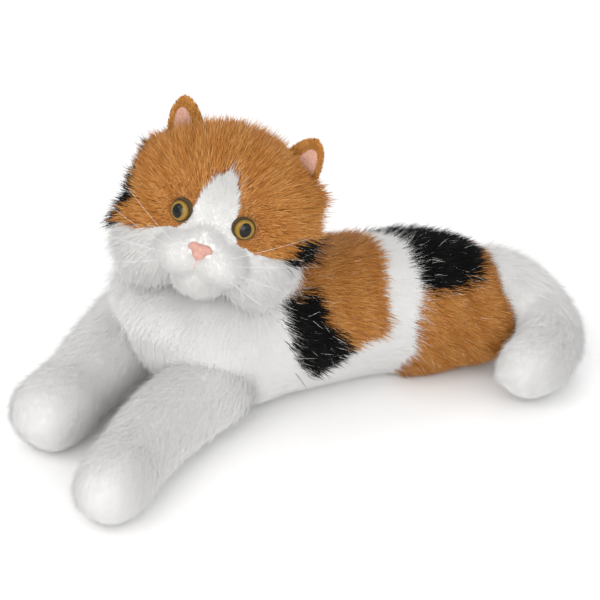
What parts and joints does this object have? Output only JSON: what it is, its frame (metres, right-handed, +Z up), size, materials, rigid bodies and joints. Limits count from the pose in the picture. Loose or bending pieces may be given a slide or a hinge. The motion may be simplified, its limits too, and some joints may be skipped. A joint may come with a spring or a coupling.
{
  "type": "plush cat",
  "caption": "Stuffed calico cat lying on its belly, head turned, front legs stretched out and tail curled forward, with jointed neck, ears, legs and tail.",
  "frame": {"origin": "on the flat underside of the belly panel, under the middle of the torso", "axes": "+Z up; the cat's front legs point towards -Y and its left side towards +X; +Y runs along the body towards the tail"},
  "size_m": [0.2314, 0.4255, 0.227],
  "materials": {
    "white_pile": "long pile",
    "tan_pile": "long pile",
    "black_pile": "long pile",
    "tan_short_pile": "short pile",
    "pink_fabric": "brushed fabric",
    "fibre": "polyester fibre filling",
    "woven_pouch": "woven lining",
    "pellets": "small pellets",
    "thread": "thread",
    "nose_flock": "flocked",
    "whisker": "monofilament",
    "eye_dome": "clear and polished",
    "eye_gold": "pearl gold",
    "eye_black": "gloss black",
    "washer_plastic": "moulded"
  },
  "bodies": {
    "torso": {"chest_panel": "white_pile", "shoulder_patch": "black_pile", "saddle_panel": "tan_pile", "middle_panel": "white_pile", "rump_patch": "black_pile", "rump_panel": "tan_pile", "belly_panel": "white_pile", "torso_stuffing": "fibre", "pellet_pouch": "woven_pouch", "pellet_fill": "pellets", "closing_stitches": "thread", "haunch_left_cover": "tan_pile", "haunch_left_stuffing": "fibre", "haunch_right_cover": "tan_pile", "haunch_right_stuffing": "fibre", "hind_paw_cover": "white_pile", "hind_paw_stuffing": "fibre"},
    "neck": {"neck_cover": "white_pile", "neck_stuffing": "fibre"},
    "head": {"face_panel_left": "tan_pile", "face_panel_right": "tan_pile", "muzzle_panel": "white_pile", "jowl_panel": "white_pile", "nape_panel": "black_pile", "head_stuffing": "fibre", "nose": "nose_flock", "mouth_stitch": "thread", "whiskers_left": "whisker", "whiskers_right": "whisker", "eye_dome_left": "eye_dome", "eye_iris_left": "eye_gold", "eye_pupil_left": "eye_black", "eye_post_left": "eye_black", "eye_washer_left": "washer_plastic", "eye_dome_right": "eye_dome", "eye_iris_right": "eye_gold", "eye_pupil_right": "eye_black", "eye_post_right": "eye_black", "eye_washer_right": "washer_plastic"},
    "ear_left": {"ear_outer_left": "tan_short_pile", "ear_inner_left": "pink_fabric"},
    "ear_right": {"ear_outer_right": "tan_short_pile", "ear_inner_right": "pink_fabric"},
    "upper_leg_left": {"upper_leg_left_cover": "white_pile", "upper_leg_left_stuffing": "fibre"},
    "lower_leg_left": {"lower_leg_left_cover": "white_pile", "lower_leg_left_stuffing": "fibre"},
    "upper_leg_right": {"upper_leg_right_cover": "white_pile", "upper_leg_right_stuffing": "fibre"},
    "lower_leg_right": {"lower_leg_right_cover": "white_pile", "lower_leg_right_stuffing": "fibre"},
    "tail_base": {"tail_base_cover": "white_pile", "tail_base_stuffing": "fibre"},
    "tail_tip": {"tail_tip_cover": "white_pile", "tail_tip_stuffing": "fibre"}
  },
  "joints": [
    {"name": "head_turn", "type": "hinge", "parent": "torso", "child": "neck", "pos_m": [0.011, -0.064, 0.104], "axis": [0, 0, 1], "range_deg": [-20, 20], "stiffness_Nm_per_rad": 0.6},
    {"name": "head_nod", "type": "hinge", "parent": "neck", "child": "head", "pos_m": [0.011, -0.064, 0.104], "axis": [0.6561, 0.7547, 0], "range_deg": [-6, 8], "stiffness_Nm_per_rad": 3},
    {"name": "ear_left_fold", "type": "hinge", "parent": "head", "child": "ear_left", "pos_m": [0.03873, -0.02784, 0.17802], "axis": [0.6514, 0.5754, -0.4945], "range_deg": [-25, 15], "stiffness_Nm_per_rad": 0.03},
    {"name": "ear_right_fold", "type": "hinge", "parent": "head", "child": "ear_right", "pos_m": [-0.01413, -0.08195, 0.19705], "axis": [0.6514, 0.7583, 0.0255], "range_deg": [-25, 15], "stiffness_Nm_per_rad": 0.03},
    {"name": "front_leg_left_splay", "type": "hinge", "parent": "torso", "child": "upper_leg_left", "pos_m": [0.032, -0.088, 0.031], "axis": [0, 0, 1], "range_deg": [-4, 12], "stiffness_Nm_per_rad": 0.5},
    {"name": "front_leg_left_lift", "type": "hinge", "parent": "upper_leg_left", "child": "lower_leg_left", "pos_m": [0.064, -0.148, 0.0255], "axis": [-0.8472, -0.5313, 0], "range_deg": [0, 30]},
    {"name": "front_leg_right_splay", "type": "hinge", "parent": "torso", "child": "upper_leg_right", "pos_m": [-0.057, -0.092, 0.039], "axis": [0, 0, -1], "range_deg": [-4, 12], "stiffness_Nm_per_rad": 0.5},
    {"name": "front_leg_right_lift", "type": "hinge", "parent": "upper_leg_right", "child": "lower_leg_right", "pos_m": [-0.032, -0.143, 0.029], "axis": [-0.8805, -0.4741, 0], "range_deg": [0, 30]},
    {"name": "tail_swing", "type": "hinge", "parent": "torso", "child": "tail_base", "pos_m": [0.038, 0.14, 0.062], "axis": [0, 0, 1], "range_deg": [0, 50], "stiffness_Nm_per_rad": 0.3},
    {"name": "tail_curl", "type": "hinge", "parent": "tail_base", "child": "tail_tip", "pos_m": [0.097, 0.159, 0.033], "axis": [0, 0, 1], "range_deg": [-3, 45], "stiffness_Nm_per_rad": 0.2}
  ]
}
